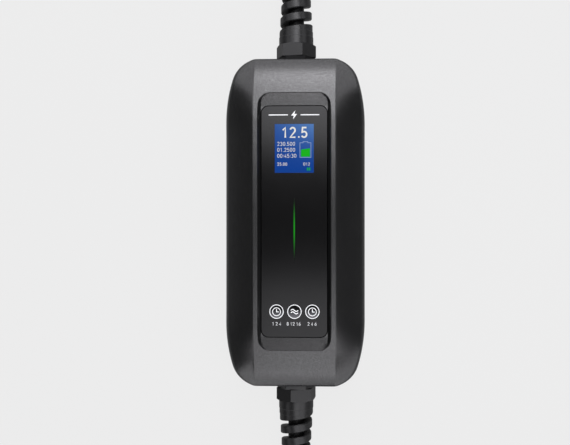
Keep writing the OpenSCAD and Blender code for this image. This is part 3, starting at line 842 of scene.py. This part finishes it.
class FlatArt:
    """Flat shapes at one height, gathered into one mesh; all sizes in millimetres."""

    def __init__(self, height):
        self.height = height
        self.vertices = []
        self.faces = []

    def polygon(self, points):
        """A filled outline."""
        first = len(self.vertices)
        self.vertices += [(x*MM, y*MM, self.height) for x, y in points]
        self.faces.append(tuple(range(first, first + len(points))))

    def ribbon(self, points, width):
        """A line of even width with mitred corners; it closes where it ends at its start."""
        closed = math.dist(points[0], points[-1]) < SAME_POINT
        line = points[:-1] if closed else points
        count = len(line)
        first = len(self.vertices)
        for i, (x, y) in enumerate(line):
            before = line[i - 1] if closed or i else None
            after = line[(i + 1) % count] if closed or i < count - 1 else None
            sides = []
            for a, b in ((before, (x, y)), ((x, y), after)):
                if a and b:
                    run = math.dist(a, b)
                    sides.append(((a[1] - b[1])/run, (b[0] - a[0])/run))
            out_x = sum(v[0] for v in sides)/len(sides)
            out_y = sum(v[1] for v in sides)/len(sides)
            reach = 0.5*width/max(out_x*out_x + out_y*out_y, LEAST_MITRE)
            for sign in (-1.0, 1.0):
                self.vertices.append(
                    ((x + sign*reach*out_x)*MM, (y + sign*reach*out_y)*MM, self.height))
        for i in range(count if closed else count - 1):
            a = first + 2*i
            b = first + 2*((i + 1) % count)
            self.faces.append((a, b, b + 1, a + 1))

    def write(self, text, x, y, height, width):
        """Plain numerals on a base line."""
        for mark in text:
            for line in GLYPHS[mark]:
                self.ribbon([(x + height*u, y + height*v) for u, v in line], width)
            x += height*(NARROW if mark in ".: " else ADVANCE)

    def piece(self, name, material, slot):
        """The gathered shapes as one piece on the panel."""
        made = add_mesh(name, self.vertices, self.faces, material, smooth=False)
        form = bmesh.new()
        form.from_mesh(made.data)
        for face in form.faces:
            face.normal_update()
            if face.normal.z < 0:
                face.normal_flip()
        form.to_mesh(made.data)
        form.free()


def ink_material(name, tint, painted_glow):
    """Matt printing ink with a little painted glow, which makes it brighter."""
    material = plastic(name, tint, 0.6, grain=0.0003, relief=0.000001, specular=0.2)
    shader = material.node_tree.nodes["Principled BSDF"]
    fill(shader, {"Emission Color": (*tint, 1.0), "Emission Strength": painted_glow})
    return material


# Painted glow on the keys' faces: its colour, and the places along a key where it is full and where it has
# faded out.
KEY_PAINTED_GLOW = (0.14, 0.14, 0.1568)
KEY_LIT = -0.0042
KEY_DARK = 0.0028


def key_material(name, middle):
    """The keys' faces, black at the top and glowing towards the bottom: a printed gradient, given as painted
    glow.
    """
    material, shader, place = blank_material(name)
    painted_glow = 1.0 - (place.axis(ALONG) - middle).step(KEY_LIT, KEY_DARK)
    painted_glow.tinted(KEY_PAINTED_GLOW).feed(shader.inputs["Emission Color"])
    fill(shader, {"Emission Strength": 1.0, "Base Color": BLACK, "Specular IOR Level": 0.1})
    return material


SCREEN_LEFT = -0.014
SCREEN_WIDTH = 0.028
SCREEN_FOOT = 0.0358
SCREEN_HEIGHT = 0.035
LEFT_SHARE = 0.3


def screen_material(name, high, low):
    """The lit picture's background, from deep at the bottom to pale at the top right."""
    material, shader, place = blank_material(name)
    side = ((place.axis(ACROSS) - SCREEN_LEFT)/SCREEN_WIDTH).clamp()
    rise = ((place.axis(ALONG) - SCREEN_FOOT)/SCREEN_HEIGHT).clamp()
    share = rise*rise*(LEFT_SHARE + (1.0 - LEFT_SHARE)*side)
    tint = place.node(
        "ShaderNodeMix", {"data_type": "RGBA"}, {0: share, 6: (*low, 1.0), 7: (*high, 1.0)}, output=2)
    tint.feed(shader.inputs["Emission Color"])
    fill(shader, {"Emission Strength": 1.0, "Base Color": BLACK, "Specular IOR Level": 0.05})
    gloss = 0.25 + 0.05*side
    gloss.feed(shader.inputs["Roughness"])
    return material


LIGHT_MIDDLE = -0.0043
LIGHT_SPREAD = 0.0119
LIGHT_CORE = 0.0002
LIGHT_EDGE = 0.0006


def light_material(name, tint):
    """The status light, brightest near its middle and along its middle line."""
    material, shader, place = blank_material(name)
    off = (place.axis(ALONG) - LIGHT_MIDDLE)/LIGHT_SPREAD
    core = 1.0 - abs(place.axis(ACROSS)).step(LIGHT_CORE, LIGHT_EDGE)
    share = place.math("POWER", math.e, -(off*off))*core
    share.tinted(tint).feed(shader.inputs["Emission Color"])
    fill(shader, {
        "Emission Strength": 1.0, "Base Color": (0.001, 0.002, 0.001, 1.0), "Roughness": 0.3,
        "Specular IOR Level": 0.2})
    return material


class CHARGER_OT_panel(bpy.types.Operator):
    """Finish the panel, its printing, the screen's picture and the status light"""

    bl_idname = "charger.panel"
    bl_label = "Panel"

    def execute(self, context):
        panel = context.scene.charger_panel
        finish = context.scene.charger_finish
        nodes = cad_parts
        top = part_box("front_panel")[1][2]
        black = plastic(
            "panel_black", tuple(finish.panel), 0.18, grain=0.0005, relief=0.000002, uneven=0.03,
            specular=0.38)
        soften(dress(nodes["front_panel"], black), 0.00025)
        dress(nodes["display_glass"], screen_material(
            "screen", tuple(finish.screen_high), tuple(finish.screen_low)))
        dress(nodes["light_guide"], light_material("status_light", tuple(finish.light)))
        self.keys(panel, finish, top)
        self.sign(finish, top)
        self.picture(top)
        return {"FINISHED"}

    def keys(self, panel, finish, top):
        """Three printed touch keys with rings, pictograms and numbers."""
        y = panel.key_y/MM + PRINT_Y
        stroke = panel.stroke/MM
        ring = panel.ring/MM - 0.5*stroke
        faces = FlatArt(top + FACE_LIFT)
        print_white = FlatArt(top + INK_LIFT)
        print_grey = FlatArt(top + INK_LIFT)
        for i in (-1, 0, 1):
            x = i*panel.key_gap/MM + PRINT_X
            faces.polygon(arc(x, y, ring, ring, 0, 352.5, 47))
            print_white.ribbon(arc(x, y, ring, ring, 0, 360, 56), stroke)
            if i:
                self.clock(print_white, x, y)
            else:
                self.waves(print_white, x, y)
        for text, start in KEY_NUMBERS:
            print_grey.write(text, start, y - KEY_NUMBERS_DROP, KEY_NUMBERS_HEIGHT, KEY_NUMBERS_LINE)
        grey = tuple(0.8*c for c in finish.ink)
        faces.piece("key_faces", key_material("key_face", panel.key_y), "panel")
        # White and grey printing, each with a little painted glow.
        print_white.piece("key_marks", ink_material("ink_white", tuple(finish.ink), 0.35), "panel")
        print_grey.piece("key_numbers", ink_material("ink_grey", grey, 0.15), "panel")

    def clock(self, art, x, y):
        """A clock with two hands."""
        art.ribbon(arc(x, y - CLOCK_DROP, CLOCK_RADIUS, CLOCK_RADIUS, 0, 360, 40), CLOCK_LINE)
        art.ribbon([(x + u, y + v) for u, v in HANDS], HANDS_LINE)

    def waves(self, art, x, y):
        """Two waves, one over the other."""
        for lift in WAVE_LIFTS:
            wave = []
            for k in range(WAVE_STEPS + 1):
                part = k/WAVE_STEPS
                wave.append((x + WAVE_LENGTH*(part - 0.5), y + lift + WAVE_HEIGHT*math.sin(2*math.pi*part)))
            art.ribbon(wave, WAVE_LINE)

    def sign(self, finish, top):
        """A plain lightning sign between two lines, above the screen."""
        art = FlatArt(top + INK_LIFT)
        for start, end in SIGN_LINES:
            art.ribbon([(start, SIGN_Y), (end, SIGN_Y)], SIGN_LINE)
        art.polygon([(x, SIGN_Y + y) for x, y in BOLT])
        art.piece("panel_sign", ink_material("ink_sign", tuple(finish.ink), 0.25), "panel")

    def picture(self, top):
        """Numbers and a charge gauge on the screen."""
        digits = FlatArt(top + SCREEN_LIFT)
        for line in SCREEN_NUMBERS:
            digits.write(*line)
        digits.piece("screen_numbers", glow("screen_white", (0.80, 0.78, 0.73)), "display")
        gauge = FlatArt(top + SCREEN_LIFT)
        gauge.ribbon(GAUGE, GAUGE_LINE)
        gauge.piece("screen_gauge", glow("screen_line", (0.33, 0.42, 0.62)), "display")
        charge = FlatArt(top + SCREEN_LIFT)
        charge.polygon(CHARGE)
        for x in BAR_PLACES:
            end = x + BAR_WIDTH
            charge.polygon([(x, BAR_BASE), (end, BAR_BASE), (end, BAR_TOP), (x, BAR_TOP)])
        charge.piece("screen_charge", glow("screen_green", (0.009, 0.42, 0.011)), "display")


class CHARGER_OT_fittings(bpy.types.Operator):
    """Finish every other piece that keeps its modelled shape"""

    bl_idname = "charger.fittings"
    bl_label = "Fittings"

    def execute(self, context):
        finish = context.scene.charger_finish
        gland = tuple(finish.gland)
        nylon = plastic("gland_nylon", gland, 0.36, grain=0.0006, relief=0.00001, specular=0.66)
        # A dull copy of the gland nylon, with little sheen: painted shade for the supply gland's body and
        # both locknuts.
        shaded = plastic("gland_body_nylon", gland, 0.42, grain=0.0006, relief=0.00001, specular=0.12)
        rubber = plastic("rubber", tuple(finish.cable), 0.62)
        metal = plastic("brass", (0.62, 0.50, 0.25), 0.28, metallic=1.0, relief=0.000002)
        steel = plastic("steel", (0.56, 0.57, 0.58), 0.32, metallic=1.0, relief=0.000002)
        case = plastic("connector_plastic", tuple(finish.panel), 0.45)
        board = plastic("board", (0.02, 0.13, 0.05), 0.4)
        part = plastic("component", (0.02, 0.02, 0.02), 0.5)
        blue = plastic("component_colour", (0.05, 0.14, 0.42), 0.5)
        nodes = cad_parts
        groups = (
            (nylon, 0.0004, ("supply_dome_nut", "vehicle_dome_nut", "vehicle_gland_body")),
            # These parts get the painted shade copy of the gland nylon.
            (shaded, 0.0004, ("supply_gland_body", "supply_gland_locknut", "vehicle_gland_locknut")),
            (rubber, 0.0003, ("supply_gland_washer", "vehicle_gland_washer", "supply_gland_seal",
                              "vehicle_gland_seal", "housing_seal", "connector_boot", "connector_cap")),
            (metal, 0.0002, ("plug_pins", "plug_earth_clips")),
            (steel, 0.0001, ("case_screws", "board_screws", "display_screws", "connector_screws")),
            (case, 0.0008, ("plug_body", "connector_shell_left", "connector_shell_right", "connector_nose")),
            (rubber, 0.0004, ("hank_straps",)),
            (board, 0.0, ("main_board", "display_board")),
            (part, 0.0002, ("power_relays", "leakage_sensor", "supply_module", "bulk_capacitor", "processor",
                            "display_module", "supply_terminal", "vehicle_terminal")),
            (blue, 0.0002, ("filter_capacitor", "surge_arresters", "fuse", "board_ribbon", "supply_wires",
                            "vehicle_wires", "status_leds", "touch_pads")),
        )
        for material, width, names in groups:
            for name in names:
                soften(dress(nodes[name], material), width)
        return {"FINISHED"}


# Places and sizes of the lights, in metres, and angles from the vertical, in degrees.
LIGHT_TINT = (0.985, 0.98, 1.02)
BOX_REACH = 0.93
BOX_AIM = 0.05
SOFT_BOXES = (
    ("head_light", "key", 0.10, 9.0, 66.0, 0.50), ("foot_light", "fill", 0.08, -6.6, -66.0, 0.50),
    ("head_side", "side", -0.40, 9.0, 50.0, 0.46), ("foot_side", "side", 0.60, -6.6, -50.0, 0.50))
WALLS = (
    ("head_wall", 0.15, 1.0, 0.45, 3.9, 0.90), ("foot_wall", 0.95, -1.0, 0.275, 4.3, 0.55))
WING_HEIGHT = 1.0
WING_WIDTH = 1.3
WINGS = (
    ("head_left_wing", -1.55, 0.28, 1.15, 1.0), ("head_right_wing", 1.55, 0.25, 1.12, 1.0),
    ("foot_left_wing", -1.55, -0.52, -1.30, 1.25), ("foot_right_wing", 1.55, -0.20, -1.25, 1.3))

# What the floor and the background give to the camera, to reflections and to everything else.
FLOOR_HALF = 6.0
FLOOR_DIM = 0.20
FLOOR_SHINE = 0.95
FLOOR_MIRRORED = 0.03
FLOOR_MIRRORED_NEAR = 0.17
NEAR_END = 0.12
FAR_START = 0.30
WORLD_DIM = (0.04, 0.04, 0.04, 1.0)
WORLD_MIRRORED = 0.04
SENSOR = 36.0


def area_light(name, place, aim, width, height, power):
    """A soft rectangular light that points at a place."""
    data = bpy.data.lights.new(name, "AREA")
    data.shape = "RECTANGLE"
    data.size = width
    data.size_y = height
    data.energy = power
    data.color = LIGHT_TINT
    light = bpy.data.objects.new(name, data)
    light.location = place
    away = (Vector(place) - Vector(aim)).normalized()
    across = Vector((1.0, 0.0, 0.0)).cross(away).cross(away).normalized()*-1.0
    light.rotation_euler = Matrix((across, away.cross(across), away)).transposed().to_euler()
    bpy.context.scene.collection.objects.link(light)


def soft_box(name, x, start, end, width, power):
    """A soft light over one end of the charger, between two angles from the vertical."""
    middle = math.radians(0.5*(start + end))
    height = 2.0*BOX_REACH*math.tan(math.radians(0.5*abs(end - start)))
    place = (x, BOX_REACH*math.sin(middle), BOX_AIM + BOX_REACH*math.cos(middle))
    area_light(name, place, (x, 0, BOX_AIM), width, height, power)


def ray_kinds(tree):
    """Signals for what the camera sees directly, and for what it sees in a reflection or through glass."""
    rays = tree.nodes.new("ShaderNodeLightPath").outputs
    seen = Signal(tree, rays["Is Camera Ray"])
    glossy = Signal(tree, rays["Is Glossy Ray"])
    through = Signal(tree, rays["Is Transmission Ray"])
    return seen, seen.math("MAXIMUM", glossy, through)


class CHARGER_OT_studio(bpy.types.Operator):
    """Set the floor, the lights, the background and the camera"""

    bl_idname = "charger.studio"
    bl_label = "Studio"

    def execute(self, context):
        scene = context.scene
        studio = scene.charger_studio
        pale = tuple(studio.floor)
        self.floor(pale)
        self.lights(studio)
        self.background(scene, pale)
        self.camera(scene, studio)
        scene.view_settings.view_transform = "Standard"
        return {"FINISHED"}

    def floor(self, pale):
        """A floor that the camera sees pale, but that throws little light back."""
        material, shader, place = blank_material("floor")
        tree = material.node_tree
        seen, mirrored = ray_kinds(tree)
        tone = seen*(pale[0] - FLOOR_DIM) + FLOOR_DIM
        tone.tinted((1.0, 1.0, 1.0)).feed(shader.inputs["Base Color"])
        fill(shader, {"Roughness": 0.9, "Specular IOR Level": 0.1})
        near = 1.0 - abs(place.axis(ACROSS)).step(NEAR_END, FAR_START)
        share = seen.math("MAXIMUM", FLOOR_SHINE*seen, (FLOOR_MIRRORED + FLOOR_MIRRORED_NEAR*near)*mirrored)
        shine = place.node("ShaderNodeEmission", {}, {"Color": (*pale, 1.0)})
        mix = place.node("ShaderNodeMixShader", {}, {0: share, 1: Signal(tree, shader.outputs[0]), 2: shine})
        mix.feed(tree.nodes["Material Output"].inputs[0])
        half = FLOOR_HALF
        outline = [(-half, -half, 0), (half, -half, 0), (half, half, 0), (-half, half, 0)]
        floor = add_mesh("floor", outline, [(0, 1, 2, 3)], material, smooth=False, ride=False)

    def lights(self, studio):
        """Soft boxes over both ends, walls past them and wings over the corners."""
        for name, power, x, start, end, width in SOFT_BOXES:
            soft_box(name, x, start, end, width, getattr(studio, power))
        for name, x, y, z, width, height in WALLS:
            area_light(name, (x, y, z), (x, 0, z), width, height, getattr(studio, name))
        for name, x, start, end, share in WINGS:
            middle = 0.5*(start + end)
            deep = abs(end - start)
            power = share*deep*studio.wing
            area_light(name, (x, middle, WING_HEIGHT), (x, middle, 0.0), WING_WIDTH, deep, power)

    def background(self, scene, pale):
        """A background as pale as the floor to the camera, and dim to everything else."""
        world = bpy.data.worlds.new("studio_world")
        scene.world = world
        world.use_nodes = True
        tree = world.node_tree
        tree.nodes.clear()
        output = tree.nodes.new("ShaderNodeOutputWorld")
        seen, mirrored = ray_kinds(tree)
        dim = seen.node("ShaderNodeBackground", {}, {"Color": WORLD_DIM})
        bright = seen.node("ShaderNodeBackground", {}, {"Color": (*pale, 1.0)})
        share = seen.math("MAXIMUM", seen, WORLD_MIRRORED*mirrored)
        mix = seen.node("ShaderNodeMixShader", {}, {0: share, 1: dim, 2: bright})
        mix.feed(output.inputs[0])

    def camera(self, scene, studio):
        """The camera, a little to the charger's right and looking down at it."""
        data = bpy.data.cameras.new("camera")
        data.lens = studio.lens
        data.sensor_width = SENSOR
        data.shift_x = studio.shift
        data.shift_y = studio.rise
        camera = bpy.data.objects.new("camera", data)
        away = Vector((math.sin(studio.yaw), 0.0, math.cos(studio.yaw)))
        camera.location = Vector((0.0, 0.0, studio.aim)) + studio.distance*away
        across = Vector((math.cos(studio.yaw), 0.0, -math.sin(studio.yaw)))
        camera.rotation_euler = Matrix((across, (0.0, 1.0, 0.0), away)).transposed().to_euler()
        scene.collection.objects.link(camera)
        scene.camera = camera


class CHARGER_PT_sidebar(bpy.types.Panel):
    """The charger's steps, in order"""

    bl_label = "Portable EV Charger"
    bl_idname = "CHARGER_PT_sidebar"
    bl_space_type = "VIEW_3D"
    bl_region_type = "UI"
    bl_category = "Charger"

    def draw(self, context):
        for name in STEPS:
            self.layout.operator(name)
        for group in GROUPS:
            settings = getattr(context.scene, group)
            box = self.layout.box()
            box.label(text=group.replace("charger_", "").title())
            for key in settings.__annotations__:
                box.prop(settings, key)


STEPS = ("charger.leads", "charger.housing", "charger.panel", "charger.fittings", "charger.studio")
GROUPS = {
    "charger_housing": ChargerHousing,
    "charger_panel": ChargerPanel,
    "charger_leads": ChargerLeads,
    "charger_finish": ChargerFinish,
    "charger_studio": ChargerStudio,
}
CLASSES = (
    *GROUPS.values(), CHARGER_OT_leads, CHARGER_OT_housing, CHARGER_OT_panel, CHARGER_OT_fittings,
    CHARGER_OT_studio, CHARGER_PT_sidebar)


def register():
    """Add the charger's settings, operators and panel to Blender."""
    for made in CLASSES:
        bpy.utils.register_class(made)
    for name, group in GROUPS.items():
        setattr(bpy.types.Scene, name, PointerProperty(type=group))


def unregister():
    """Take the charger's settings, operators and panel out again."""
    for name in GROUPS:
        delattr(bpy.types.Scene, name)
    for made in reversed(CLASSES):
        bpy.utils.unregister_class(made)


def main():
    """Register, then build every piece in order."""
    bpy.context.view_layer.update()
    register()
    bpy.ops.charger.leads()
    bpy.ops.charger.housing()
    bpy.ops.charger.panel()
    bpy.ops.charger.fittings()
    bpy.ops.charger.studio()


if __name__ == "__main__":
    main()
